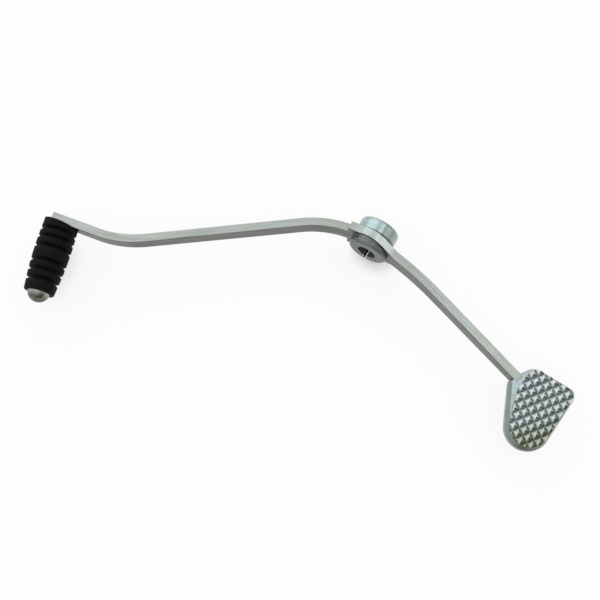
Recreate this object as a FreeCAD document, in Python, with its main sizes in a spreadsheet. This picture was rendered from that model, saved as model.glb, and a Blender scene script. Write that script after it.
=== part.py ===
import FreeCAD, Part
import math
import os
import Sketcher
from FreeCAD import Placement, Rotation, Vector

# Heel and toe gear shift lever for a motorbike.
# Origin: bore axis at half the hub's length. +Y points to the engine, +X to the heel, +Z up.

doc = FreeCAD.newDocument("GearShiftLever")

# Driving dimensions, in millimetres and degrees
dimensions = {
    # flat bar of the lever
    "plate": 5.4,
    "arm_offset": 2.2,
    "toe_straight": 31.0,
    "toe_angle": 8.4,
    "toe_bend_radius": 66.0,
    "diagonal": 98.0,
    "diagonal_angle": 35.6,
    "hub_bend_radius": 65.0,
    "hub_bend_shift": 6.8,
    "heel_bend_radius": 232.0,
    "heel_angle": 19.0,
    "heel_straight": 68.0,
    "root_height": 11.8,
    "toe_height": 8.8,
    "heel_height": 9.4,
    "edge_radius": 0.45,
    # eye of the bar round the hub
    "eye_radius": 14.4,
    "shoulder_reach": 16.0,
    "shoulder_height": 11.5,
    "heel_root_reach": 16.8,
    # split hub
    "hub_radius": 12.9,
    "hub_length": 19.4,
    "hub_rim_radius": 1.9,
    "bore_radius": 6.0,
    "serrations": 30,
    "serration_depth": 0.45,
    "serration_width": 0.7,
    "slit": 1.4,
    "lug_depth": 6.6,
    "lug_span": 15.0,
    "lug_drop": 21.8,
    # pinch bolt
    "bolt_radius": 3.0,
    "bolt_clearance": 0.2,
    "bolt_drop": 17.2,
    "bolt_flange_radius": 4.8,
    "bolt_flange": 1.2,
    "bolt_hex": 8.0,
    "bolt_head": 4.6,
    "bolt_tail": 1.5,
    # toe peg and its rubber
    "peg_setback": 6.5,
    "peg_splay": 8.2,
    "peg_radius": 5.0,
    "peg_tenon_radius": 4.0,
    "peg_head_radius": 6.9,
    "peg_head": 6.2,
    "rubber_length": 46.0,
    "rubber_arm_radius": 11.5,
    "rubber_tip_radius": 9.9,
    "groove_depth": 1.8,
    "groove_width": 1.7,
    # heel pad, its corner circles measured from the bar's heel end
    "pad_drop": 4.0,
    "pad_base": 4.0,
    "pad_inner_x": 10.4,
    "pad_inner_y": 4.2,
    "pad_inner_radius": 7.0,
    "pad_rear_x": 30.1,
    "pad_rear_y": 4.5,
    "pad_rear_radius": 5.7,
    "pad_tip_x": 19.0,
    "pad_tip_y": -23.5,
    "pad_tip_radius": 13.5,
    "pad_neck_x": 2.4,
    "pad_neck_y": -3.5,
    "pad_neck_radius": 5.0,
    "pad_rim": 1.5,
    "tread_shift_x": 4.6,
    "tread_shift_y": -2.2,
    # chequer of small pyramids on the pad
    "chequer_pitch": 4.7,
    "chequer_depth": 1.7,
    "chequer_land": 0.7,
    "chequer_angle": 51.0,
}
sheet = doc.addObject("Spreadsheet::Sheet", "Dimensions")
for row, (name, value) in enumerate(dimensions.items(), start=1):
    sheet.set("A%d" % row, name)
    sheet.set("B%d" % row, str(value))
    sheet.setAlias("B%d" % row, name)
doc.recompute()
dim = dimensions

HALF = "Dimensions.%s / 2"
FULL = "Dimensions.%s"
DEGREES = "Dimensions.%s * 1 deg"


def new_body(label):
    body = doc.addObject("PartDesign::Body", label)
    body.Label = label
    return body


def origin_plane(body, role):
    return next(item for item in body.Origin.OriginFeatures if item.Role == role)


def new_sketch(body, role, name, offset=Placement()):
    sketch = body.newObject("Sketcher::SketchObject", name)
    sketch.AttachmentSupport = [(origin_plane(body, role), "")]
    sketch.MapMode = "FlatFace"
    sketch.AttachmentOffset = offset
    return sketch


def drive(sketch, expression, *constraint):
    # A dimension of the sketch that follows the spreadsheet.
    index = sketch.addConstraint(Sketcher.Constraint(*constraint))
    sketch.setExpression("Constraints[%d]" % index, expression)


def relate(sketch, *constraint):
    sketch.addConstraint(Sketcher.Constraint(*constraint))


def heading(angle):
    return Vector(math.cos(math.radians(angle)), math.sin(math.radians(angle)), 0)


def left_of(angle):
    return heading(angle + 90)


def line(start, end):
    return Part.LineSegment(start, end)


def arc(centre, radius, first_angle, last_angle):
    circle = Part.Circle(centre, Vector(0, 0, 1), radius)
    return Part.ArcOfCircle(circle, math.radians(first_angle), math.radians(last_angle))


def centred_rectangle(sketch, width, height):
    # Rectangle about the sketch's origin, its sizes given as expressions.
    corners = [Vector(-1, -1, 0), Vector(1, -1, 0), Vector(1, 1, 0), Vector(-1, 1, 0)]
    for index in range(4):
        sketch.addGeometry(line(corners[index], corners[(index + 1) % 4]))
    for index in range(4):
        relate(sketch, "Coincident", index, 2, (index + 1) % 4, 1)
    for index, direction in enumerate(("Horizontal", "Vertical", "Horizontal", "Vertical")):
        relate(sketch, direction, index)
    relate(sketch, "Symmetric", 0, 1, 1, 2, -1, 1)
    drive(sketch, width, "DistanceX", 0, 1, 0, 2, 2.0)
    drive(sketch, height, "DistanceY", 1, 1, 1, 2, 2.0)


def bind(feature, **sizes):
    for prop, expression in sizes.items():
        feature.setExpression(prop, expression)
    return feature


def through_pocket(body, sketch, name):
    pocket = body.newObject("PartDesign::Pocket", name)
    pocket.Profile = sketch
    pocket.Type = "ThroughAll"
    pocket.Midplane = True
    return pocket


# Lever arm: one flat bar, bent in plan, with an eye for the hub
arm = new_body("lever_arm")

hub_angle = -math.degrees(math.asin(dim["hub_bend_shift"] / dim["hub_bend_radius"]))
hub_point = Vector(0, -dim["arm_offset"], 0)
hub_centre = hub_point - left_of(hub_angle) * dim["hub_bend_radius"]
diagonal_end = hub_centre + left_of(dim["diagonal_angle"]) * dim["hub_bend_radius"]
diagonal_start = diagonal_end - heading(dim["diagonal_angle"]) * dim["diagonal"]
toe_centre = diagonal_start + left_of(dim["diagonal_angle"]) * dim["toe_bend_radius"]
toe_bend_start = toe_centre - left_of(dim["toe_angle"]) * dim["toe_bend_radius"]
toe_end = toe_bend_start - heading(dim["toe_angle"]) * dim["toe_straight"]
heel_centre = hub_point - left_of(hub_angle) * dim["heel_bend_radius"]
heel_bend_end = heel_centre + left_of(-dim["heel_angle"]) * dim["heel_bend_radius"]
heel_end = heel_bend_end + heading(-dim["heel_angle"]) * dim["heel_straight"]

spine = new_sketch(arm, "XY_Plane", "ArmCentreLine")
spine.addGeometry([
    line(toe_end, toe_bend_start),
    arc(toe_centre, dim["toe_bend_radius"], dim["toe_angle"] - 90, dim["diagonal_angle"] - 90),
    line(diagonal_start, diagonal_end),
    arc(hub_centre, dim["hub_bend_radius"], hub_angle + 90, dim["diagonal_angle"] + 90),
    arc(heel_centre, dim["heel_bend_radius"], 90 - dim["heel_angle"], hub_angle + 90),
    line(heel_bend_end, heel_end),
])
relate(spine, "Tangent", 0, 2, 1, 1)
relate(spine, "Tangent", 1, 2, 2, 1)
relate(spine, "Tangent", 2, 2, 3, 2)
relate(spine, "Tangent", 3, 1, 4, 2)
relate(spine, "Tangent", 4, 1, 5, 1)
relate(spine, "PointOnObject", 3, 1, -2)
drive(spine, FULL % "arm_offset", "DistanceY", 3, 1, -1, 1, dim["arm_offset"])
drive(spine, FULL % "hub_bend_shift", "DistanceX", 3, 3, -1, 1, dim["hub_bend_shift"])
drive(spine, FULL % "toe_bend_radius", "Radius", 1, dim["toe_bend_radius"])
drive(spine, FULL % "hub_bend_radius", "Radius", 3, dim["hub_bend_radius"])
drive(spine, FULL % "heel_bend_radius", "Radius", 4, dim["heel_bend_radius"])
drive(spine, FULL % "toe_straight", "Distance", 0, dim["toe_straight"])
drive(spine, FULL % "diagonal", "Distance", 2, dim["diagonal"])
drive(spine, FULL % "heel_straight", "Distance", 5, dim["heel_straight"])
drive(spine, DEGREES % "toe_angle", "Angle", 0, math.radians(dim["toe_angle"]))
drive(spine, DEGREES % "diagonal_angle", "Angle", 2, math.radians(dim["diagonal_angle"]))
drive(spine, "-" + DEGREES % "heel_angle", "Angle", 5, -math.radians(dim["heel_angle"]))

section = arm.newObject("Sketcher::SketchObject", "ArmSection")
section.Placement = Placement(
    toe_end, Rotation(left_of(dim["toe_angle"]), Vector(0, 0, 1), heading(dim["toe_angle"]), "XYZ"))
centred_rectangle(section, FULL % "plate", "2 * Dimensions.eye_radius")

bar = arm.newObject("PartDesign::AdditivePipe", "ArmBar")
bar.Profile = section
bar.Spine = (spine, [])
doc.recompute()

# Waste above the bar: the taper to each end, the round eye and its square shoulder
elevation = new_sketch(arm, "XZ_Plane", "ArmElevation")
above = dim["eye_radius"] + 2
past_toe = toe_end.x - 10
past_heel = heel_end.x + 10
root = dim["root_height"] / 2
shoulder_end = math.sqrt(dim["eye_radius"] ** 2 - dim["shoulder_height"] ** 2)
root_distance = math.hypot(dim["heel_root_reach"], root)
tangent_angle = (math.degrees(math.atan2(root, dim["heel_root_reach"]))
                 + math.degrees(math.acos(dim["eye_radius"] / root_distance)))
shoulder_angle = 180 - math.degrees(math.asin(dim["shoulder_height"] / dim["eye_radius"]))
waste = [
    Vector(past_toe, above, 0),
    Vector(past_heel, above, 0),
    Vector(past_heel, dim["heel_height"] / 2, 0),
    Vector(dim["heel_root_reach"], root, 0),
    heading(tangent_angle) * dim["eye_radius"],
    Vector(-shoulder_end, dim["shoulder_height"], 0),
    Vector(-dim["shoulder_reach"], dim["shoulder_height"], 0),
    Vector(-dim["shoulder_reach"], root, 0),
    Vector(past_toe, dim["toe_height"] / 2, 0),
]
for index in (0, 1, 2, 3):
    elevation.addGeometry(line(waste[index], waste[index + 1]))
elevation.addGeometry(arc(Vector(), dim["eye_radius"], tangent_angle, shoulder_angle))
for index in (5, 6, 7):
    elevation.addGeometry(line(waste[index], waste[index + 1]))
elevation.addGeometry(line(waste[8], waste[0]))
for index in (0, 1, 2):
    relate(elevation, "Coincident", index, 2, index + 1, 1)
relate(elevation, "Tangent", 3, 2, 4, 1)
for index in (4, 5, 6, 7):
    relate(elevation, "Coincident", index, 2, index + 1, 1)
relate(elevation, "Coincident", 8, 2, 0, 1)
relate(elevation, "Horizontal", 0)
relate(elevation, "Vertical", 1)
relate(elevation, "Horizontal", 5)
relate(elevation, "Vertical", 6)
relate(elevation, "Vertical", 8)
relate(elevation, "Coincident", 4, 3, -1, 1)
relate(elevation, "DistanceX", 0, 1, -1, 1, -past_toe)
relate(elevation, "DistanceX", -1, 1, 0, 2, past_heel)
drive(elevation, "Dimensions.eye_radius + 2", "DistanceY", -1, 1, 0, 1, above)
drive(elevation, HALF % "heel_height", "DistanceY", -1, 1, 1, 2, dim["heel_height"] / 2)
drive(elevation, FULL % "heel_root_reach", "DistanceX", -1, 1, 2, 2, dim["heel_root_reach"])
drive(elevation, HALF % "root_height", "DistanceY", -1, 1, 2, 2, root)
drive(elevation, FULL % "eye_radius", "Radius", 4, dim["eye_radius"])
drive(elevation, FULL % "shoulder_height", "DistanceY", -1, 1, 5, 2, dim["shoulder_height"])
drive(elevation, FULL % "shoulder_reach", "DistanceX", 5, 2, -1, 1, dim["shoulder_reach"])
drive(elevation, HALF % "root_height", "DistanceY", -1, 1, 6, 2, root)
drive(elevation, HALF % "toe_height", "DistanceY", -1, 1, 7, 2, dim["toe_height"] / 2)
taper = through_pocket(arm, elevation, "ArmTaper")
doc.recompute()

mirror = arm.newObject("PartDesign::Mirrored", "ArmTaperBelow")
mirror.Originals = [taper]
mirror.MirrorPlane = (origin_plane(arm, "XY_Plane"), [""])
arm.Tip = mirror
doc.recompute()

# Rolled bar: every long edge is a little rounded
rolled = arm.newObject("PartDesign::Fillet", "ArmEdges")
rolled.Base = (mirror, ["Edge%d" % (index + 1) for index in range(len(mirror.Shape.Edges))])
bind(rolled, Radius=FULL % "edge_radius")
arm.Tip = rolled
doc.recompute()

eye_sketch = new_sketch(arm, "XZ_Plane", "EyeHoleCircle")
eye_sketch.addGeometry(Part.Circle(Vector(), Vector(0, 0, 1), dim["hub_radius"]))
relate(eye_sketch, "Coincident", 0, 3, -1, 1)
drive(eye_sketch, FULL % "hub_radius", "Radius", 0, dim["hub_radius"])
eye_hole = through_pocket(arm, eye_sketch, "EyeHole")
arm.Tip = eye_hole
doc.recompute()

eye_slit = arm.newObject("PartDesign::SubtractiveBox", "EyeSlit")
bind(eye_slit, Length=FULL % "slit", Width=FULL % "hub_length", Height="2 * Dimensions.eye_radius")
eye_slit.Placement = Placement(
    Vector(-dim["slit"] / 2, -dim["hub_length"] / 2, -2 * dim["eye_radius"]), Rotation())
arm.Tip = eye_slit
doc.recompute()

# Peg frame: origin where the peg's axis meets the bar's outer face, Z along the peg
peg_angle = dim["toe_angle"] - 90 + dim["peg_splay"]
peg_root = (toe_end + heading(dim["toe_angle"]) * dim["peg_setback"]
            - left_of(dim["toe_angle"]) * dim["plate"] / 2)
peg_frame = Placement(
    peg_root, Rotation(left_of(peg_angle), Vector(0, 0, 1), heading(peg_angle), "XYZ"))

peg_hole = arm.newObject("PartDesign::SubtractiveCylinder", "PegHole")
bind(peg_hole, Radius=FULL % "peg_tenon_radius", Height="4 * Dimensions.plate")
peg_hole.Placement = peg_frame * Placement(Vector(0, 0, -2 * dim["plate"]), Rotation())
arm.Tip = peg_hole
doc.recompute()

# Clamp hub: turned sleeve with a serrated bore, split below and closed by two lugs
hub = new_body("clamp_hub")
rim_sketch = new_sketch(hub, "XZ_Plane", "HubRound")
rim_sketch.addGeometry(Part.Circle(Vector(), Vector(0, 0, 1), dim["hub_radius"]))
relate(rim_sketch, "Coincident", 0, 3, -1, 1)
drive(rim_sketch, FULL % "hub_radius", "Radius", 0, dim["hub_radius"])
sleeve = hub.newObject("PartDesign::Pad", "HubSleeve")
sleeve.Profile = rim_sketch
sleeve.Midplane = True
bind(sleeve, Length=FULL % "hub_length")
doc.recompute()

rim = hub.newObject("PartDesign::Fillet", "HubRim")
rim.Base = (sleeve, ["Edge%d" % (index + 1) for index, edge in enumerate(sleeve.Shape.Edges)
                     if isinstance(edge.Curve, Part.Circle)])
bind(rim, Radius=FULL % "hub_rim_radius")
hub.Tip = rim
doc.recompute()

lugs = hub.newObject("PartDesign::AdditiveBox", "HubLugs")
bind(lugs, Length=FULL % "lug_span", Width=FULL % "lug_depth", Height=FULL % "lug_drop")
lug_back = dim["hub_length"] / 2 - dim["hub_rim_radius"]
lugs.Placement = Placement(
    Vector(-dim["lug_span"] / 2, lug_back - dim["lug_depth"], -dim["lug_drop"]), Rotation())
hub.Tip = lugs
doc.recompute()

bore_sketch = new_sketch(hub, "XZ_Plane", "BoreCircle")
bore_sketch.addGeometry(Part.Circle(Vector(), Vector(0, 0, 1), dim["bore_radius"]))
relate(bore_sketch, "Coincident", 0, 3, -1, 1)
drive(bore_sketch, FULL % "bore_radius", "Radius", 0, dim["bore_radius"])
bore = through_pocket(hub, bore_sketch, "Bore")
hub.Tip = bore
doc.recompute()

# One serration is a vee at the top of the bore, repeated round it
vee_sketch = new_sketch(hub, "XZ_Plane", "SerrationVee")
vee_foot = dim["bore_radius"] - 0.3
vee_tip = dim["bore_radius"] + dim["serration_depth"]
vee = [Vector(-dim["serration_width"] / 2, vee_foot, 0), Vector(dim["serration_width"] / 2, vee_foot, 0),
       Vector(0, vee_tip, 0)]
for index in range(3):
    vee_sketch.addGeometry(line(vee[index], vee[(index + 1) % 3]))
for index in range(3):
    relate(vee_sketch, "Coincident", index, 2, (index + 1) % 3, 1)
relate(vee_sketch, "Symmetric", 0, 1, 0, 2, -2)
drive(vee_sketch, FULL % "serration_width", "DistanceX", 0, 1, 0, 2, dim["serration_width"])
relate(vee_sketch, "PointOnObject", 1, 2, -2)
drive(vee_sketch, "Dimensions.bore_radius - 0.3", "DistanceY", -1, 1, 0, 1, vee_foot)
drive(vee_sketch, "Dimensions.bore_radius + Dimensions.serration_depth", "DistanceY", -1, 1, 1, 2, vee_tip)
serration = through_pocket(hub, vee_sketch, "Serration")
hub.Tip = serration
doc.recompute()

serrations = hub.newObject("PartDesign::PolarPattern", "Serrations")
serrations.Originals = [serration]
serrations.Axis = (vee_sketch, ["N_Axis"])
serrations.Angle = 360
hub.Tip = serrations
bind(serrations, Occurrences=FULL % "serrations")
doc.recompute()

hub_slit = hub.newObject("PartDesign::SubtractiveBox", "HubSlit")
bind(hub_slit, Length=FULL % "slit", Width=FULL % "hub_length", Height="2 * Dimensions.lug_drop")
hub_slit.Placement = Placement(
    Vector(-dim["slit"] / 2, -dim["hub_length"] / 2, -2 * dim["lug_drop"]), Rotation())
hub.Tip = hub_slit
doc.recompute()

# The bolt crosses the lugs below the bore, at half their depth
bolt_centre = Vector(0, lug_back - dim["lug_depth"] / 2, -dim["bolt_drop"])
along_x = Rotation(Vector(0, 1, 0), 90)
bolt_hole = hub.newObject("PartDesign::SubtractiveCylinder", "BoltHole")
bind(bolt_hole, Radius="Dimensions.bolt_radius + Dimensions.bolt_clearance", Height="2 * Dimensions.lug_span")
bolt_hole.Placement = Placement(bolt_centre - Vector(dim["lug_span"], 0, 0), along_x)
hub.Tip = bolt_hole
doc.recompute()

# Pinch bolt: plain shank, round flange seated on the toe side lug, hexagon head
bolt = new_body("pinch_bolt")
bolt.Placement = Placement(bolt_centre - Vector(dim["lug_span"] / 2, 0, 0), along_x)
shank = bolt.newObject("PartDesign::AdditiveCylinder", "BoltShank")
bind(shank, Radius=FULL % "bolt_radius", Height="Dimensions.lug_span + Dimensions.bolt_tail")
flange = bolt.newObject("PartDesign::AdditiveCylinder", "BoltFlange")
bind(flange, Radius=FULL % "bolt_flange_radius", Height=FULL % "bolt_flange")
flange.Placement = Placement(Vector(0, 0, -dim["bolt_flange"]), Rotation())
head = bolt.newObject("PartDesign::AdditivePrism", "BoltHead")
head.Polygon = 6
bind(head, Circumradius="Dimensions.bolt_hex / sqrt(3)", Height=FULL % "bolt_head")
head.Placement = Placement(Vector(0, 0, -dim["bolt_flange"] - dim["bolt_head"]), Rotation())
bolt.Tip = head
doc.recompute()

# Toe peg: turned pin with a domed head, its tenon riveted flush in the bar
peg = new_body("toe_peg")
peg.Placement = peg_frame
turned = new_sketch(peg, "XZ_Plane", "PegProfile")
dome_radius = (dim["peg_head_radius"] ** 2 + dim["peg_head"] ** 2) / (2 * dim["peg_head"])
dome_centre = Vector(0, dim["rubber_length"] + dim["peg_head"] - dome_radius, 0)
dome_edge = math.degrees(math.asin((dim["rubber_length"] - dome_centre.y) / dome_radius))
peg_foot = -2 * dim["plate"]
peg_points = [
    Vector(0, peg_foot, 0),
    Vector(dim["peg_radius"], peg_foot, 0),
    Vector(dim["peg_radius"], dim["rubber_length"], 0),
    Vector(dim["peg_head_radius"], dim["rubber_length"], 0),
]
for index in range(3):
    turned.addGeometry(line(peg_points[index], peg_points[index + 1]))
turned.addGeometry(arc(dome_centre, dome_radius, dome_edge, 90))
turned.addGeometry(line(Vector(0, dim["rubber_length"] + dim["peg_head"], 0), peg_points[0]))
for index in range(5):
    relate(turned, "Coincident", index, 2, (index + 1) % 5, 1)
relate(turned, "Horizontal", 0)
relate(turned, "Vertical", 1)
relate(turned, "Horizontal", 2)
relate(turned, "PointOnObject", 4, 1, -2)
relate(turned, "PointOnObject", 4, 2, -2)
relate(turned, "PointOnObject", 3, 3, -2)
drive(turned, FULL % "peg_radius", "DistanceX", -1, 1, 0, 2, dim["peg_radius"])
drive(turned, FULL % "peg_head_radius", "DistanceX", -1, 1, 2, 2, dim["peg_head_radius"])
drive(turned, "2 * Dimensions.plate", "DistanceY", 0, 1, -1, 1, -peg_foot)
drive(turned, FULL % "rubber_length", "DistanceY", -1, 1, 1, 2, dim["rubber_length"])
drive(turned, FULL % "peg_head", "DistanceY", 2, 2, 3, 2, dim["peg_head"])
pin = peg.newObject("PartDesign::Revolution", "PegPin")
pin.Profile = turned
pin.ReferenceAxis = (turned, ["V_Axis"])
pin.Angle = 360
doc.recompute()

# The bar's faces seen from the peg frame: they turn by the splay about the vertical
bar_face = Placement(Vector(), Rotation(Vector(0, 1, 0), -dim["peg_splay"]))
reach = 4 * dim["rubber_arm_radius"]
cut_depth = 8 * dim["plate"]


def cut_behind_bar(body, name, depth):
    # Takes away what lies more than the given depth behind the bar's outer face.
    block = body.newObject("PartDesign::SubtractiveBox", name)
    bind(block, Length="8 * Dimensions.rubber_arm_radius", Width="8 * Dimensions.rubber_arm_radius",
         Height="8 * Dimensions.plate")
    block.Placement = bar_face * Placement(Vector(-reach, -reach, -depth - cut_depth), Rotation())
    body.Tip = block
    doc.recompute()


cut_behind_bar(peg, "PegSeat", 0)
tenon = peg.newObject("PartDesign::AdditiveCylinder", "PegTenon")
bind(tenon, Radius=FULL % "peg_tenon_radius", Height="3 * Dimensions.plate")
tenon.Placement = Placement(Vector(0, 0, peg_foot), Rotation())
peg.Tip = tenon
doc.recompute()
cut_behind_bar(peg, "TenonFlush", dim["plate"])

# Toe rubber: moulded sleeve, ribbed, its inner end pressed flat on the bar
rubber = new_body("toe_rubber")
rubber.Placement = peg_frame
sleeve_sketch = new_sketch(rubber, "XZ_Plane", "RubberProfile")
slope = (dim["rubber_tip_radius"] - dim["rubber_arm_radius"]) / dim["rubber_length"]
sleeve_points = [
    Vector(dim["peg_radius"], peg_foot, 0),
    Vector(dim["rubber_arm_radius"], peg_foot, 0),
    Vector(dim["rubber_arm_radius"], 0, 0),
    Vector(dim["rubber_tip_radius"], dim["rubber_length"], 0),
    Vector(dim["peg_radius"], dim["rubber_length"], 0),
]
for index in range(5):
    sleeve_sketch.addGeometry(line(sleeve_points[index], sleeve_points[(index + 1) % 5]))
for index in range(5):
    relate(sleeve_sketch, "Coincident", index, 2, (index + 1) % 5, 1)
relate(sleeve_sketch, "Horizontal", 0)
relate(sleeve_sketch, "Vertical", 1)
relate(sleeve_sketch, "Horizontal", 3)
relate(sleeve_sketch, "Vertical", 4)
relate(sleeve_sketch, "PointOnObject", 1, 2, -1)
drive(sleeve_sketch, FULL % "peg_radius", "DistanceX", -1, 1, 0, 1, dim["peg_radius"])
drive(sleeve_sketch, "2 * Dimensions.plate", "DistanceY", 0, 1, -1, 1, -peg_foot)
drive(sleeve_sketch, FULL % "rubber_arm_radius", "DistanceX", -1, 1, 1, 1, dim["rubber_arm_radius"])
drive(sleeve_sketch, FULL % "rubber_tip_radius", "DistanceX", -1, 1, 2, 2, dim["rubber_tip_radius"])
drive(sleeve_sketch, FULL % "rubber_length", "DistanceY", -1, 1, 2, 2, dim["rubber_length"])
cone = rubber.newObject("PartDesign::Revolution", "RubberSleeve")
cone.Profile = sleeve_sketch
cone.ReferenceAxis = (sleeve_sketch, ["V_Axis"])
cone.Angle = 360
doc.recompute()

cut_behind_bar(rubber, "RubberSeat", 0)

# Rib lengths from the bar outwards, as shares of the room left between the grooves
rib_shares = [100, 65, 85, 150, 75, 80, 130]
rib_room = dim["rubber_length"] - dim["groove_width"] * (len(rib_shares) - 1)
groove_start = 0
for number, share in enumerate(rib_shares[:-1], start=1):
    groove_start += rib_room * share / sum(rib_shares)
    ring = rubber.newObject("Sketcher::SketchObject", "RubberGrooveProfile%d" % number)
    ring.AttachmentSupport = [(origin_plane(rubber, "XZ_Plane"), "")]
    ring.MapMode = "FlatFace"
    floor = dim["rubber_arm_radius"] + slope * groove_start - dim["groove_depth"]
    outside = dim["rubber_arm_radius"] + 1
    box = [Vector(floor, groove_start, 0), Vector(outside, groove_start, 0),
           Vector(outside, groove_start + dim["groove_width"], 0),
           Vector(floor, groove_start + dim["groove_width"], 0)]
    for index in range(4):
        ring.addGeometry(line(box[index], box[(index + 1) % 4]))
    for index in range(4):
        relate(ring, "Coincident", index, 2, (index + 1) % 4, 1)
    for index, direction in enumerate(("Horizontal", "Vertical", "Horizontal", "Vertical")):
        relate(ring, direction, index)
    relate(ring, "DistanceX", -1, 1, 0, 1, floor)
    relate(ring, "DistanceY", -1, 1, 0, 1, groove_start)
    drive(ring, "Dimensions.rubber_arm_radius + 1", "DistanceX", -1, 1, 0, 2, outside)
    drive(ring, FULL % "groove_width", "DistanceY", 1, 1, 1, 2, dim["groove_width"])
    groove = rubber.newObject("PartDesign::Groove", "RubberGroove%d" % number)
    groove.Profile = ring
    groove.ReferenceAxis = (ring, ["V_Axis"])
    groove.Angle = 360
    rubber.Tip = groove
    groove_start += dim["groove_width"]
    doc.recompute()

# Heel pad: forged plate with sloping flanks and a chequered tread
pad = new_body("heel_pad")
pad.Placement = Placement(heel_end, Rotation())
corner_names = ("pad_inner", "pad_rear", "pad_tip", "pad_neck")


def belt(sketch, inset=0, clear_of_bar=False):
    # Outline drawn tight round the four corner circles, taken clockwise in plan.
    # The tread keeps its neck corner clear of the bar by its own shift.
    circles = []
    for corner in corner_names:
        centre = Vector(dim[corner + "_x"], dim[corner + "_y"], 0)
        if clear_of_bar and corner == "pad_neck":
            centre += Vector(dim["tread_shift_x"], dim["tread_shift_y"], 0)
        circles.append((centre, dim[corner + "_radius"] - inset))
    normals = []
    for index, (centre, radius) in enumerate(circles):
        next_centre, next_radius = circles[(index + 1) % 4]
        apart = next_centre - centre
        bearing = math.degrees(math.atan2(apart.y, apart.x))
        lean = math.degrees(math.acos((radius - next_radius) / apart.Length))
        normals.append(bearing + lean)
    for index, (centre, radius) in enumerate(circles):
        next_centre, next_radius = circles[(index + 1) % 4]
        leave, arrive = normals[index], normals[index - 1]
        while arrive < leave:
            arrive += 360
        sketch.addGeometry(arc(centre, radius, leave, arrive))
        sketch.addGeometry(line(centre + heading(leave) * radius, next_centre + heading(leave) * next_radius))
    for index in range(4):
        relate(sketch, "Tangent", 2 * index, 1, 2 * index + 1, 1)
        relate(sketch, "Tangent", 2 * index + 1, 2, (2 * index + 2) % 8, 2)
    for index, corner in enumerate(corner_names):
        centre, radius = circles[index]
        rim_inset = " - Dimensions.pad_rim" if inset else ""
        drive(sketch, FULL % (corner + "_radius") + rim_inset, "Radius", 2 * index, radius)
        for axis, place in (("x", centre.x), ("y", centre.y)):
            where = FULL % (corner + "_" + axis)
            if clear_of_bar and corner == "pad_neck":
                where += " + Dimensions.tread_shift_" + axis
            drive(sketch, where, "Distance" + axis.upper(), -1, 1, 2 * index, 3, place)


outline = new_sketch(pad, "XY_Plane", "PadOutline", Placement(Vector(0, 0, -dim["pad_drop"]), Rotation()))
belt(outline)
base = pad.newObject("PartDesign::Pad", "PadBase")
base.Profile = outline
bind(base, Length=FULL % "pad_base")
doc.recompute()

# The flanks rise to a land that lies flush with the bar's upper edge
flank_foot = dim["pad_base"] - dim["pad_drop"]
tread_foot = dim["heel_height"] / 2
lower = new_sketch(pad, "XY_Plane", "FlankFoot", Placement(Vector(0, 0, flank_foot), Rotation()))
belt(lower)
upper = new_sketch(pad, "XY_Plane", "FlankTop", Placement(Vector(0, 0, tread_foot), Rotation()))
belt(upper, dim["pad_rim"])
flanks = pad.newObject("PartDesign::AdditiveLoft", "PadFlanks")
flanks.Profile = lower
flanks.Sections = [upper]
flanks.Ruled = True
pad.Tip = flanks
doc.recompute()

tread_sketch = new_sketch(pad, "XY_Plane", "TreadOutline", Placement(Vector(0, 0, tread_foot), Rotation()))
belt(tread_sketch, dim["pad_rim"], clear_of_bar=True)
tread = pad.newObject("PartDesign::Pad", "Tread")
tread.Profile = tread_sketch
bind(tread, Length=FULL % "chequer_depth")
pad.Tip = tread
doc.recompute()

# Two crossing sets of vee grooves leave the pyramids standing
tread_box = tread.Shape.BoundBox
tread_span = 1.1 * math.hypot(tread_box.XLength, tread_box.YLength)
vees = int(tread_span / dim["chequer_pitch"])
mouth = dim["chequer_pitch"] - dim["chequer_land"]
middle = Vector(dim["pad_tip_x"], (dim["pad_inner_y"] + dim["pad_tip_y"]) / 2, 0)
for name, turn in (("Row", dim["chequer_angle"] + 90), ("Column", dim["chequer_angle"])):
    across = middle.dot(heading(turn)) - (vees - 1) / 2 * dim["chequer_pitch"]
    cut = new_sketch(pad, "XZ_Plane", name + "Vee", Placement(Vector(), Rotation(Vector(0, 1, 0), turn)))
    tip = Vector(across, tread_foot, 0)
    lip = Vector(mouth / 2, dim["chequer_depth"], 0)
    vee = [tip, tip + lip, tip + Vector(-lip.x, lip.y, 0)]
    for index in range(3):
        cut.addGeometry(line(vee[index], vee[(index + 1) % 3]))
    for index in range(3):
        relate(cut, "Coincident", index, 2, (index + 1) % 3, 1)
    relate(cut, "Horizontal", 1)
    relate(cut, "Equal", 0, 2)
    relate(cut, "DistanceX", -1, 1, 0, 1, across)
    relate(cut, "DistanceY", -1, 1, 0, 1, tread_foot)
    drive(cut, FULL % "chequer_depth", "DistanceY", 0, 1, 0, 2, dim["chequer_depth"])
    drive(cut, "Dimensions.chequer_pitch - Dimensions.chequer_land", "DistanceX", 1, 2, 1, 1, mouth)
    pocket = through_pocket(pad, cut, name + "Cut")
    pad.Tip = pocket
    doc.recompute()
    rows = pad.newObject("PartDesign::LinearPattern", name + "Cuts")
    rows.Originals = [pocket]
    rows.Direction = (cut, ["H_Axis"])
    rows.Length = (vees - 1) * dim["chequer_pitch"]
    pad.Tip = rows
    rows.Occurrences = vees
    doc.recompute()

# The bar's heel end is let into the pad and welded there
socketed = doc.addObject("Part::Cut", "heel_pad_socketed")
socketed.Base = pad
socketed.Tool = arm
doc.recompute()

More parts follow.
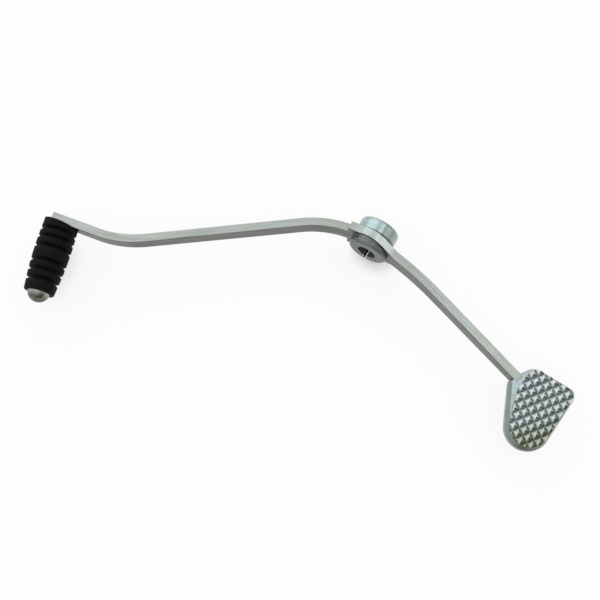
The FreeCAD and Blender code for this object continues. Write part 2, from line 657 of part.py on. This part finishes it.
nodes = {
    "lever_arm": arm,
    "clamp_hub": hub,
    "pinch_bolt": bolt,
    "toe_peg": peg,
    "toe_rubber": rubber,
    "heel_pad": socketed,
}
for item in doc.Objects:
    if "Invalid" in item.State or "Error" in item.State:
        raise RuntimeError("%s did not build: %s" % (item.Name, item.State))
os.makedirs("parts", exist_ok=True)
for name, item in nodes.items():
    if item.Shape.isNull() or not item.Shape.isValid():
        raise RuntimeError("%s has no valid shape" % name)
    item.Shape.exportStep("parts/%s.step" % name)
    bounds = item.Shape.BoundBox
    print(name, len(item.Shape.Solids), "solid", round(item.Shape.Volume), "mm3",
          [round(v, 1) for v in (bounds.XMin, bounds.XMax, bounds.YMin, bounds.YMax, bounds.ZMin, bounds.ZMax)])
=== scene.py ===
import math

import bpy
from mathutils import Matrix, Vector


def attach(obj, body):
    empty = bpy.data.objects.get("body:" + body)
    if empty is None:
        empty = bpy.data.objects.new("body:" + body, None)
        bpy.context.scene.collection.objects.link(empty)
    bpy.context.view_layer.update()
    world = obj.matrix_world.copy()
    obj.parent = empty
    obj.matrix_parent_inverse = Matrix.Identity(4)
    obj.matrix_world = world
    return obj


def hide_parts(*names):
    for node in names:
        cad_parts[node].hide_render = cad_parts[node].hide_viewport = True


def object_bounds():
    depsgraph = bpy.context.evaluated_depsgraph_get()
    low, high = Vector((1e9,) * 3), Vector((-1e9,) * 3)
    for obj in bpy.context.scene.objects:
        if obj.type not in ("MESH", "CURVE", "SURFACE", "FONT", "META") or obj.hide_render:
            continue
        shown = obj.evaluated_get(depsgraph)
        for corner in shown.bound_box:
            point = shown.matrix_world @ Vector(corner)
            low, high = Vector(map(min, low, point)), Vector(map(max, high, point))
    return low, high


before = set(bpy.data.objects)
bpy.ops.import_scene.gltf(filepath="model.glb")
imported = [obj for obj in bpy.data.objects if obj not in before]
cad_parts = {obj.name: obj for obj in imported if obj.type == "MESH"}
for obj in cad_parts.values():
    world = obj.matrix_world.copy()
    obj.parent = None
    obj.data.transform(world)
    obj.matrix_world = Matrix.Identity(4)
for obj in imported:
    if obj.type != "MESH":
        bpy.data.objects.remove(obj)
cad_low, cad_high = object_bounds()
bpy.ops.object.select_all(action="DESELECT")


# Lever arm: one flat steel bar, cut to shape, bent in plan and bright zinc plated.
# Its broad rolled faces are painted darker than the sheared edges, as shade.
# Rolling and grinding leave fine streaks along the bar.
def new_material(name):
    material = bpy.data.materials.new(name)
    material.use_nodes = True
    nodes = material.node_tree.nodes
    return material, nodes, material.node_tree.links, nodes["Principled BSDF"]


def math_node(nodes, links, operation, first, second=0):
    node = nodes.new("ShaderNodeMath")
    node.operation = operation
    for socket, value in zip(node.inputs, (first, second)):
        if isinstance(value, (int, float)):
            socket.default_value = value
        else:
            links.new(value, socket)
    return node.outputs["Value"]


def split(nodes, links, vector):
    parts = nodes.new("ShaderNodeSeparateXYZ")
    links.new(vector, parts.inputs["Vector"])
    return parts.outputs


def from_shaft(nodes, links, axes):
    squares = [math_node(nodes, links, "MULTIPLY", axes[name], axes[name]) for name in ("X", "Z")]
    return math_node(nodes, links, "POWER", math_node(nodes, links, "ADD", *squares), 0.5)


def noise(nodes, links, vector, stretch, detail, roughness=0.5):
    mapping = nodes.new("ShaderNodeMapping")
    mapping.inputs["Scale"].default_value = stretch
    links.new(vector, mapping.inputs["Vector"])
    texture = nodes.new("ShaderNodeTexNoise")
    texture.inputs["Scale"].default_value = 1.0
    texture.inputs["Detail"].default_value = detail
    texture.inputs["Roughness"].default_value = roughness
    links.new(mapping.outputs["Vector"], texture.inputs["Vector"])
    return texture.outputs["Fac"]


def ramp(nodes, links, factor, stops):
    colours = nodes.new("ShaderNodeValToRGB")
    elements = colours.color_ramp.elements
    while len(elements) < len(stops):
        elements.new(0.5)
    for element, (position, colour) in zip(elements, stops):
        element.position = position
        element.color = (*colour, 1)
    links.new(factor, colours.inputs["Fac"])
    return colours.outputs["Color"]


def blend(nodes, links, share, first, second):
    mix = nodes.new("ShaderNodeMix")
    mix.data_type = "RGBA"
    links.new(share, mix.inputs["Factor"])
    links.new(first, mix.inputs["A"])
    links.new(second, mix.inputs["B"])
    return mix.outputs["Result"]


def tinted(nodes, links, colour, tint):
    mix = nodes.new("ShaderNodeMix")
    mix.data_type = "RGBA"
    mix.blend_type = "MULTIPLY"
    mix.inputs["Factor"].default_value = 1.0
    links.new(colour, mix.inputs["A"])
    links.new(tint, mix.inputs["B"])
    return mix.outputs["Result"]


def span(nodes, links, value, from_low, from_high, low, high):
    spread = nodes.new("ShaderNodeMapRange")
    spread.inputs["From Min"].default_value = from_low
    spread.inputs["From Max"].default_value = from_high
    spread.inputs["To Min"].default_value = low
    spread.inputs["To Max"].default_value = high
    links.new(value, spread.inputs["Value"])
    return spread.outputs["Result"]


def relief(nodes, links, shader, height, strength, distance):
    bump = nodes.new("ShaderNodeBump")
    bump.inputs["Strength"].default_value = strength
    bump.inputs["Distance"].default_value = distance
    links.new(height, bump.inputs["Height"])
    links.new(bump.outputs["Normal"], shader.inputs["Normal"])


def dress(node, material):
    node.data.materials.clear()
    node.data.materials.append(material)


bar_zinc, nodes, links, shader = new_material("bar_zinc")
shader.inputs["Metallic"].default_value = 1.0
place = nodes.new("ShaderNodeTexCoord").outputs
axes = split(nodes, links, place["Object"])
facing = split(nodes, links, place["Normal"])

# Across the bar: how far a point lies from the bent centre line, so the streaks follow the bends
line_start, line_length, line_depth = -0.184, 0.300, 0.0872
centre_line = [
    (-0.1840, -0.0872), (-0.1531, -0.0827), (-0.1380, -0.0786), (-0.1243, -0.0710), (-0.0844, -0.0425),
    (-0.0446, -0.0140), (-0.0269, -0.0050), (-0.0068, -0.0018), (0.0200, -0.0046), (0.0513, -0.0136),
    (0.1160, -0.0358),
]
curve = nodes.new("ShaderNodeFloatCurve")
points = curve.mapping.curves[0].points
while len(points) < len(centre_line):
    points.new(0.5, 0.5)
for point, (x, y) in zip(points, centre_line):
    point.location = ((x - line_start) / line_length, 1 + y / line_depth)
curve.mapping.update()
along_bar = span(nodes, links, axes["X"], line_start, line_start + line_length, 0, 1)
links.new(along_bar, curve.inputs["Value"])
centre_y = span(nodes, links, curve.outputs["Value"], 0, 1, -line_depth, 0)
rolled = nodes.new("ShaderNodeCombineXYZ")
links.new(axes["X"], rolled.inputs["X"])
links.new(math_node(nodes, links, "SUBTRACT", axes["Y"], centre_y), rolled.inputs["Y"])
links.new(axes["Z"], rolled.inputs["Z"])
streaks = noise(nodes, links, rolled.outputs["Vector"], (35, 1700, 1700), 4.0, 0.65)
patches = noise(nodes, links, rolled.outputs["Vector"], (45, 120, 120), 3.0)
edge_tint = ramp(nodes, links, patches, [
    (0.32, (0.36, 0.40, 0.35)),
    (0.50, (0.40, 0.43, 0.40)),
    (0.68, (0.39, 0.43, 0.45)),
])
# The broad faces take a darker tint than the edges: painted shade.
face_shade_tint = ramp(nodes, links, patches, [
    (0.32, (0.125, 0.135, 0.12)),
    (0.55, (0.17, 0.17, 0.165)),
    (0.70, (0.15, 0.155, 0.165)),
])
lit_edge_share = span(nodes, links, math_node(nodes, links, "ABSOLUTE", facing["Y"]), 0.7, 0.4, 0, 1)

# The eye's rim is turned with the hub; a painted highlight makes it brighter than the sheared edges, most of
# all where it faces the heel
eye_radius = 0.0144
rim_highlight_tint = ramp(nodes, links, facing["X"], [
    (0.0, (0.44, 0.50, 0.48)),
    (0.15, (0.50, 0.56, 0.54)),
    (0.40, (0.74, 0.81, 0.78)),
])
rim_highlight_share = span(nodes, links, from_shaft(nodes, links, axes), eye_radius + 0.0041, eye_radius + 0.0006, 0, 1)
edge_tint = blend(nodes, links, rim_highlight_share, edge_tint, rim_highlight_tint)
finish = blend(nodes, links, lit_edge_share, face_shade_tint, edge_tint)
grime = ramp(nodes, links, streaks, [(0.28, (0.74, 0.74, 0.72)), (0.62, (1.05, 1.05, 1.05))])
links.new(tinted(nodes, links, finish, grime), shader.inputs["Base Color"])
links.new(span(nodes, links, streaks, 0.3, 0.7, 0.44, 0.30), shader.inputs["Roughness"])
relief(nodes, links, shader, streaks, 0.10, 0.0003)
dress(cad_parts["lever_arm"], bar_zinc)


# Clamp hub: turned from round bar, bored and serrated, sawn through below and plated.
# Its round side is bright, with faint turning rings, and painted duller towards the heel as shade; the faced
# ends are painted dark as shade.
# The outer collar and the bore are painted darker as shade and are less metallic, and the saw cut is painted
# black as shade.
hub_zinc, nodes, links, shader = new_material("hub_zinc")
place = nodes.new("ShaderNodeTexCoord").outputs
axes = split(nodes, links, place["Object"])
facing = split(nodes, links, place["Normal"])
turning = noise(nodes, links, place["Object"], (60, 1900, 60), 3.0, 0.6)
clouds = noise(nodes, links, place["Object"], (130, 130, 130), 4.0, 0.6)
side_tint = ramp(nodes, links, clouds, [
    (0.35, (0.35, 0.45, 0.46)),
    (0.52, (0.41, 0.51, 0.52)),
    (0.70, (0.37, 0.45, 0.43)),
])
# Painted shade: the round side darkens where it faces the heel.
heel_shade = ramp(nodes, links, facing["X"], [(0.20, (1, 1, 1)), (0.34, (0.92, 0.90, 0.84))])
side_tint = tinted(nodes, links, side_tint, heel_shade)
# Painted shade for the ends, the collar and the bore, also used for the dark seam.
shade_and_seam_tint = ramp(nodes, links, clouds, [(0.35, (0.075, 0.086, 0.075)), (0.65, (0.14, 0.15, 0.133))])

# Painted shade on the faced ends, the outer collar and inside the bore, and a dark seam against the eye
collar_start, collar_end = -0.0046, -0.0056
bore_start, bore_end = 0.0075, 0.0064
eye_face = 0.0009
from_axis = from_shaft(nodes, links, axes)
from_eye = math_node(nodes, links, "ABSOLUTE", math_node(nodes, links, "SUBTRACT", axes["Y"], eye_face))
shade_and_seam_share = span(nodes, links, math_node(nodes, links, "ABSOLUTE", facing["Y"]), 0.55, 0.95, 0, 1)
for share in (
        span(nodes, links, axes["Y"], collar_start, collar_end, 0, 0.9),
        span(nodes, links, from_axis, bore_start, bore_end, 0, 0.35),
        span(nodes, links, from_eye, 0.0009, 0.0004, 0, 0.9)):
    shade_and_seam_share = math_node(nodes, links, "MAXIMUM", shade_and_seam_share, share)
finish = blend(nodes, links, shade_and_seam_share, side_tint, shade_and_seam_tint)

# The walls of the saw cut are painted black as shade, with no bare metal and no shine
half_slit = 0.0007
beside_slit = span(nodes, links, math_node(nodes, links, "ABSOLUTE", axes["X"]),
                   half_slit + 0.0001, half_slit + 0.0003, 0, 1)
above_slit = span(nodes, links, axes["Z"], -0.0060, -0.0052, 0, 1)
off_slit = math_node(nodes, links, "MAXIMUM", beside_slit, above_slit)
slit_shade = ramp(nodes, links, off_slit, [(0.0, (0.03, 0.03, 0.03)), (1.0, (1, 1, 1))])
bare = math_node(nodes, links, "MINIMUM",
                 span(nodes, links, from_axis, bore_start, bore_end, 1, 0.3),
                 span(nodes, links, axes["Y"], collar_start, collar_end, 1, 0.35))
links.new(math_node(nodes, links, "MULTIPLY", bare, off_slit), shader.inputs["Metallic"])
links.new(math_node(nodes, links, "MULTIPLY", off_slit, 0.5), shader.inputs["Specular IOR Level"])
turned = ramp(nodes, links, turning, [(0.3, (0.86, 0.86, 0.86)), (0.65, (1.04, 1.04, 1.04))])
links.new(tinted(nodes, links, tinted(nodes, links, finish, slit_shade), turned), shader.inputs["Base Color"])
links.new(span(nodes, links, turning, 0.3, 0.7, 0.32, 0.22), shader.inputs["Roughness"])
relief(nodes, links, shader, turning, 0.025, 0.0002)
dress(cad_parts["clamp_hub"], hub_zinc)


# Pinch bolt: a bought steel bolt across the sawn lugs, plated duller than the lever.
# It is threaded from under the head to its tip, and the head has the marks of spanners.
bolt_zinc, nodes, links, shader = new_material("bolt_zinc")
shader.inputs["Metallic"].default_value = 1.0
place = nodes.new("ShaderNodeTexCoord").outputs
axes = split(nodes, links, place["Object"])
scuffs = noise(nodes, links, place["Object"], (420, 420, 420), 5.0, 0.65)
links.new(ramp(nodes, links, scuffs, [(0.3, (0.26, 0.25, 0.23)), (0.6, (0.44, 0.44, 0.42))]),
          shader.inputs["Base Color"])
links.new(span(nodes, links, scuffs, 0.3, 0.7, 0.48, 0.32), shader.inputs["Roughness"])
thread_pitch, head_seat = 0.001, -0.0088
turns = math_node(nodes, links, "MULTIPLY", axes["X"], 2 * math.pi / thread_pitch)
thread = math_node(nodes, links, "MULTIPLY", math_node(nodes, links, "SINE", turns),
                   span(nodes, links, axes["X"], head_seat, head_seat + 0.0002, 0, 1))
relief(nodes, links, shader, math_node(nodes, links, "ADD", scuffs, thread), 0.5, 0.0003)
dress(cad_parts["pinch_bolt"], bolt_zinc)


# Toe peg: a turned pin, its tenon riveted flush in the bar and its domed head left bright.
# Where the dome faces out along the peg, its crown is brown and painted darker as shade.
def reach_along(nodes, links, vector, direction):
    product = nodes.new("ShaderNodeVectorMath")
    product.operation = "DOT_PRODUCT"
    product.inputs[1].default_value = direction
    links.new(vector, product.inputs[0])
    return product.outputs["Value"]


peg_angle = math.radians(-73.4)
peg_axis = Vector((math.cos(peg_angle), math.sin(peg_angle), 0))
peg_zinc, nodes, links, shader = new_material("peg_zinc")
shader.inputs["Metallic"].default_value = 1.0
place = nodes.new("ShaderNodeTexCoord").outputs
rubs = noise(nodes, links, place["Object"], (260, 260, 260), 5.0, 0.6)
head_tint = ramp(nodes, links, rubs, [
    (0.34, (0.30, 0.31, 0.27)),
    (0.50, (0.38, 0.39, 0.38)),
    (0.68, (0.40, 0.42, 0.44)),
])
# Painted shade with a brown tone on the crown, by the way it faces.
crown_shade_and_brown_tint = ramp(nodes, links, rubs, [(0.34, (0.055, 0.055, 0.035)), (0.66, (0.14, 0.135, 0.09))])
crown_shade_share = span(nodes, links, reach_along(nodes, links, place["Normal"], peg_axis), 0.15, 0.60, 0, 0.85)
links.new(blend(nodes, links, crown_shade_share, head_tint, crown_shade_and_brown_tint), shader.inputs["Base Color"])
links.new(span(nodes, links, rubs, 0.3, 0.7, 0.38, 0.22), shader.inputs["Roughness"])
relief(nodes, links, shader, rubs, 0.10, 0.0002)
dress(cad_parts["toe_peg"], peg_zinc)


# Toe rubber: a moulded sleeve of black rubber, pushed over the peg and up against the bar.
# Seven soft ribs of uneven length stand between six grooves, and the sleeve swells a little in the middle.
# Its inner end is cut on the slant of the peg, so that it sits flat on the bar.
sleeve_length = 0.046
sleeve_bore = 0.00503
groove_depth, groove_width = 0.0031, 0.0023
rib_round, half_round = 0.0003, 0.00015
wall_slope, groove_round = 0.0001, 0.0003
rib_shares = [100, 65, 85, 150, 75, 80, 130]
rib_room = sleeve_length - groove_width * (len(rib_shares) - 1)


def swell(height):
    share = height / sleeve_length
    return 0.0108 + 0.0028 * share - 0.0043 * share * share


rings = []
rib_start = 0.0
for share in rib_shares:
    rib_end = rib_start + rib_room * share / sum(rib_shares)
    for height, inset in (
            (rib_start, groove_depth - wall_slope), (rib_start, rib_round),
            (rib_start + half_round, half_round), (rib_start + rib_round, 0),
            (rib_end - rib_round, 0), (rib_end - half_round, half_round),
            (rib_end, rib_round), (rib_end, groove_depth - wall_slope)):
        rings.append((height, swell(height) - inset))
    if rib_end + groove_width < sleeve_length:
        groove_end = rib_end + groove_width
        rings.append((rib_end + groove_round, swell(rib_end) - groove_depth))
        rings.append((groove_end - groove_round, swell(groove_end) - groove_depth))
    rib_start = rib_end + groove_width

# The first rib starts below the slanting cut, and the last one closes in on the bore
rings = [(-0.004, swell(0))] + rings[3:]
rings[-1] = (sleeve_length, sleeve_bore)

bpy.ops.mesh.primitive_circle_add(vertices=72, radius=rings[0][1], location=(0, 0, rings[0][0]))
sleeve = bpy.context.object
sleeve.name = "ribbed_sleeve"
bpy.ops.object.transform_apply(location=True, rotation=True, scale=True)
bpy.ops.object.mode_set(mode="EDIT")
bpy.ops.mesh.select_all(action="SELECT")
for (height, radius), (next_height, next_radius) in zip(rings, rings[1:]):
    bpy.ops.mesh.extrude_region_move(TRANSFORM_OT_translate={"value": (0, 0, next_height - height)})
    bpy.ops.transform.resize(value=(next_radius / radius, next_radius / radius, 1))
bpy.ops.mesh.extrude_region_move(TRANSFORM_OT_translate={"value": (0, 0, rings[0][0] - sleeve_length)})
splay, bar_gap = math.radians(8.2), 0.00005
bpy.ops.mesh.select_all(action="SELECT")
bpy.ops.mesh.bisect(plane_co=(0, 0, bar_gap), plane_no=(-math.sin(splay), 0, math.cos(splay)),
                    clear_inner=True)
bpy.ops.mesh.select_all(action="DESELECT")
bpy.ops.mesh.select_mode(type="EDGE")
bpy.ops.mesh.select_non_manifold(extend=False, use_wire=False, use_multi_face=False, use_non_contiguous=False,
                                 use_verts=False)
bpy.ops.mesh.bridge_edge_loops()
bpy.ops.mesh.select_all(action="SELECT")
bpy.ops.mesh.remove_doubles(threshold=0.000002)
bpy.ops.mesh.normals_make_consistent(inside=False)
bpy.ops.object.mode_set(mode="OBJECT")
peg_root = Vector((-0.176946, -0.088911, 0))
peg_side = Vector((-peg_axis.y, peg_axis.x, 0))
peg_turn = Matrix((peg_side, (0, 0, 1), peg_axis)).transposed().to_4x4()
sleeve.matrix_world = Matrix.Translation(peg_root) @ peg_turn
bpy.ops.object.transform_apply(location=True, rotation=True, scale=True)
bpy.ops.object.shade_smooth_by_angle(angle=math.radians(50))

black_rubber, nodes, links, shader = new_material("black_rubber")
place = nodes.new("ShaderNodeTexCoord").outputs
grain = noise(nodes, links, place["Object"], (1500, 1500, 1500), 4.0, 0.6)
dust = noise(nodes, links, place["Object"], (110, 110, 110), 5.0, 0.6)
links.new(ramp(nodes, links, dust, [(0.36, (0.0025, 0.0025, 0.0025)), (0.70, (0.0065, 0.0065, 0.006))]),
          shader.inputs["Base Color"])
links.new(span(nodes, links, dust, 0.3, 0.7, 0.62, 0.82), shader.inputs["Roughness"])
shader.inputs["Specular IOR Level"].default_value = 0.13
relief(nodes, links, shader, grain, 0.35, 0.0002)
dress(sleeve, black_rubber)
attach(sleeve, "root")
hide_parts("toe_rubber")
bpy.ops.object.select_all(action="DESELECT")


# Heel pad: a forged steel plate welded to the bar's heel end and plated with it.
# Its tread is coined into pyramids: the facets facing the heel and the low parts between the pyramids are
# painted darker as shade.
# The plating turns a little yellow towards the outer end; the steep flanks are painted dark as shade, and the
# outer flank is brown and painted darker still as shade.
pad_outward = (0.777, -0.629, 0)
yellow_start, yellow_end = 0.138, 0.152
tread_low, tread_high = 0.0047, 0.0064
pad_zinc, nodes, links, shader = new_material("pad_zinc")
shader.inputs["Metallic"].default_value = 1.0
place = nodes.new("ShaderNodeTexCoord").outputs
axes = split(nodes, links, place["Object"])
facing = split(nodes, links, place["Normal"])
clouds = noise(nodes, links, place["Object"], (110, 110, 110), 3.0, 0.55)
specks = noise(nodes, links, place["Object"], (700, 700, 700), 4.0, 0.6)
coined_tint = ramp(nodes, links, clouds, [
    (0.32, (0.66, 0.72, 0.66)),
    (0.50, (0.72, 0.80, 0.79)),
    (0.68, (0.68, 0.75, 0.80)),
])
# Painted shade: the steep flanks are dark.
flank_shade_tint = ramp(nodes, links, clouds, [(0.32, (0.19, 0.245, 0.235)), (0.68, (0.24, 0.30, 0.29))])
# Brown, with painted shade, where the flank faces outwards.
browned_and_shaded = ramp(nodes, links, reach_along(nodes, links, place["Normal"], pad_outward),
               [(0.40, (1, 1, 1)), (0.65, (0.52, 0.48, 0.38))])
flank_shade_tint = tinted(nodes, links, flank_shade_tint, browned_and_shaded)
flank_shade_share = span(nodes, links, facing["Z"], 0.72, 0.45, 0, 1)
plating = blend(nodes, links, flank_shade_share, coined_tint, flank_shade_tint)
outward = reach_along(nodes, links, place["Object"], pad_outward)
yellowed = ramp(nodes, links, span(nodes, links, outward, yellow_start, yellow_end, 0, 1),
                [(0.0, (1, 1, 1)), (1.0, (0.70, 0.68, 0.57))])
plating = tinted(nodes, links, plating, yellowed)
# Painted shade: faces that lie level are a little darker.
flat = ramp(nodes, links, facing["Z"], [(0.90, (1, 1, 1)), (0.97, (0.61, 0.67, 0.68))])
plating = tinted(nodes, links, plating, flat)
# Painted shade: darker low down between the pyramids.
valley_shade = ramp(nodes, links, span(nodes, links, axes["Z"], tread_low, tread_high, 0, 1),
            [(0.0, (0.34, 0.34, 0.32)), (0.45, (0.85, 0.85, 0.84)), (0.75, (1, 1, 1))])
# Painted shade: facets facing the heel are darker.
heel_facet_shade = ramp(nodes, links, span(nodes, links, facing["X"], 0.1, 0.4, 0, 1),
                 [(0.0, (1, 1, 1)), (1.0, (0.58, 0.60, 0.58))])
shaded_tread = tinted(nodes, links, tinted(nodes, links, plating, heel_facet_shade), valley_shade)
on_tread = span(nodes, links, axes["Z"], tread_low - 0.0001, tread_low + 0.0001, 0, 1)
links.new(blend(nodes, links, on_tread, plating, shaded_tread), shader.inputs["Base Color"])
links.new(span(nodes, links, specks, 0.3, 0.7, 0.30, 0.16), shader.inputs["Roughness"])
relief(nodes, links, shader, specks, 0.10, 0.0002)
dress(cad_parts["heel_pad"], pad_zinc)


# Heel weld: weld metal laid in the corner between the bar's end and the pad's sloping flank.
# It is ground flush with the bar before plating, so the bar seems to run on into the pad.
weld_length, weld_width, weld_round = 0.0034, 0.00538, 0.00042
weld_low, weld_high = -0.0040, 0.00481
past_bar = 0.0007
bar_end = Vector((0.115555, -0.035705, 0))
bar_run = Vector((0.946, -0.3245, 0)).normalized()
weld_place = bar_end + bar_run * past_bar + Vector((0, 0, (weld_low + weld_high) / 2))
bpy.ops.mesh.primitive_cube_add(size=1, location=weld_place,
                                rotation=(0, 0, math.atan2(bar_run.y, bar_run.x)),
                                scale=(weld_length, weld_width, weld_high - weld_low))
weld = bpy.context.object
weld.name = "heel_weld"
bpy.ops.object.transform_apply(location=True, rotation=True, scale=True)
bpy.ops.object.mode_set(mode="EDIT")
bpy.ops.mesh.select_all(action="SELECT")
bpy.ops.mesh.bevel(offset=weld_round, segments=4, affect="EDGES")
bpy.ops.mesh.normals_make_consistent(inside=False)
bpy.ops.object.mode_set(mode="OBJECT")
bpy.ops.object.shade_smooth_by_angle(angle=math.radians(40))
dress(weld, bar_zinc)
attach(weld, "root")
bpy.ops.object.select_all(action="DESELECT")


# Floor: pale seamless paper, near white to the eye, with the lever's soft shadow on it.
# The shade is gathered from the light's side, so it lies beside the parts and not all round them.
floor_size, floor_gap = 40, 0.0002
shade_reach = 0.0165
light_side = Vector((-0.62, 0.10, 0.78)).normalized()
bpy.ops.mesh.primitive_plane_add(size=floor_size, location=(0, 0, cad_low.z - floor_gap))
floor = bpy.context.object
floor.name = "studio_floor"
paper, nodes, links, shader = new_material("floor_paper")
shader.inputs["Base Color"].default_value = (0.95, 0.95, 0.95, 1)
shader.inputs["Roughness"].default_value = 0.9
shader.inputs["Specular IOR Level"].default_value = 0.0
glow = nodes.new("ShaderNodeEmission")
glow.inputs["Color"].default_value = (1, 1, 1, 1)
seen = nodes.new("ShaderNodeLightPath")
shown = math_node(nodes, links, "ADD", seen.outputs["Is Camera Ray"], seen.outputs["Is Glossy Ray"])
shown = math_node(nodes, links, "ADD", shown, seen.outputs["Is Transmission Ray"])
leaning = nodes.new("ShaderNodeCombineXYZ")
for socket, value in zip(leaning.inputs, light_side):
    socket.default_value = value
hidden = nodes.new("ShaderNodeAmbientOcclusion")
hidden.inputs["Distance"].default_value = shade_reach
links.new(leaning.outputs["Vector"], hidden.inputs["Normal"])
open_share = span(nodes, links, hidden.outputs["AO"], 0.40, 0.86, 0, 0.86)
paper_blend = nodes.new("ShaderNodeMixShader")
links.new(math_node(nodes, links, "MULTIPLY", shown, open_share), paper_blend.inputs["Fac"])
links.new(shader.outputs["BSDF"], paper_blend.inputs[1])
links.new(glow.outputs["Emission"], paper_blend.inputs[2])
links.new(paper_blend.outputs["Shader"], nodes["Material Output"].inputs["Surface"])
dress(floor, paper)


# Studio: a white tent, bright overhead and on the toe side and dimmer on the heel side.
# One large soft lamp stands in it, with a narrow strip overhead and a low white card
# that lifts the heel side of the hub.
tent_bright_side = Vector((-0.60, 0.05, 0.80)).normalized()
world = bpy.data.worlds.new("studio_tent")
bpy.context.scene.world = world
world.use_nodes = True
nodes, links = world.node_tree.nodes, world.node_tree.links
background = nodes["Background"]
direction = nodes.new("ShaderNodeTexCoord").outputs["Generated"]
towards = reach_along(nodes, links, direction, tent_bright_side)
tent = ramp(nodes, links, span(nodes, links, towards, -1, 1, 0, 1), [
    (0.30, (0.14, 0.14, 0.14)),
    (0.45, (0.22, 0.22, 0.22)),
    (0.56, (0.50, 0.50, 0.50)),
    (0.76, (0.95, 0.96, 0.97)),
    (0.95, (1.0, 1.0, 1.0)),
])
links.new(tent, background.inputs["Color"])
background.inputs["Strength"].default_value = 1.0

aim = Vector((-0.03, -0.05, 0.0))
for name, lamp_place, width, height, power in (
        ("soft_lamp", Vector((-0.85, 0.60, 0.85)), 1.2, 1.2, 2.6),
        ("strip_lamp", Vector((0.18, 0.24, 0.96)), 0.05, 0.6, 0.36),
        ("heel_card", Vector((0.90, 0.28, 0.42)), 0.8, 0.7, 1.3)):
    bpy.ops.object.light_add(type="AREA", location=lamp_place)
    lamp = bpy.context.object
    lamp.name = name
    lamp.data.shape = "RECTANGLE"
    lamp.data.size = width
    lamp.data.size_y = height
    lamp.data.energy = power
    lamp.rotation_euler = (aim - lamp_place).to_track_quat("-Z", "Y").to_euler()


# Camera: above the outer side, with a normal lens, where the photograph was taken from.
# Its place is given by the point it looks at, two angles, a slight roll and the distance.
photo_width, focal_pixels = 600, 846.0
target = Vector((-0.02062, -0.05717, 0))
azimuth, elevation, roll = math.radians(31.71), math.radians(73.49), math.radians(-2.01)
distance = 0.52121
bpy.ops.object.camera_add()
camera = bpy.context.object
camera.name = "photo_camera"
camera.data.sensor_fit = "HORIZONTAL"
camera.data.sensor_width = 36
camera.data.lens = camera.data.sensor_width * focal_pixels / photo_width
camera.data.clip_start = 0.01
level = Vector((math.cos(azimuth), math.sin(azimuth), 0))
outer = Vector((math.sin(azimuth), -math.cos(azimuth), 0))
back = outer * math.cos(elevation) + Vector((0, 0, math.sin(elevation)))
upright = back.cross(level)
right = level * math.cos(roll) + upright * math.sin(roll)
up = upright * math.cos(roll) - level * math.sin(roll)
camera_turn = Matrix((right, up, back)).transposed().to_4x4()
camera.matrix_world = Matrix.Translation(target + back * distance) @ camera_turn
bpy.context.scene.camera = camera
bpy.context.scene.view_settings.view_transform = "Standard"
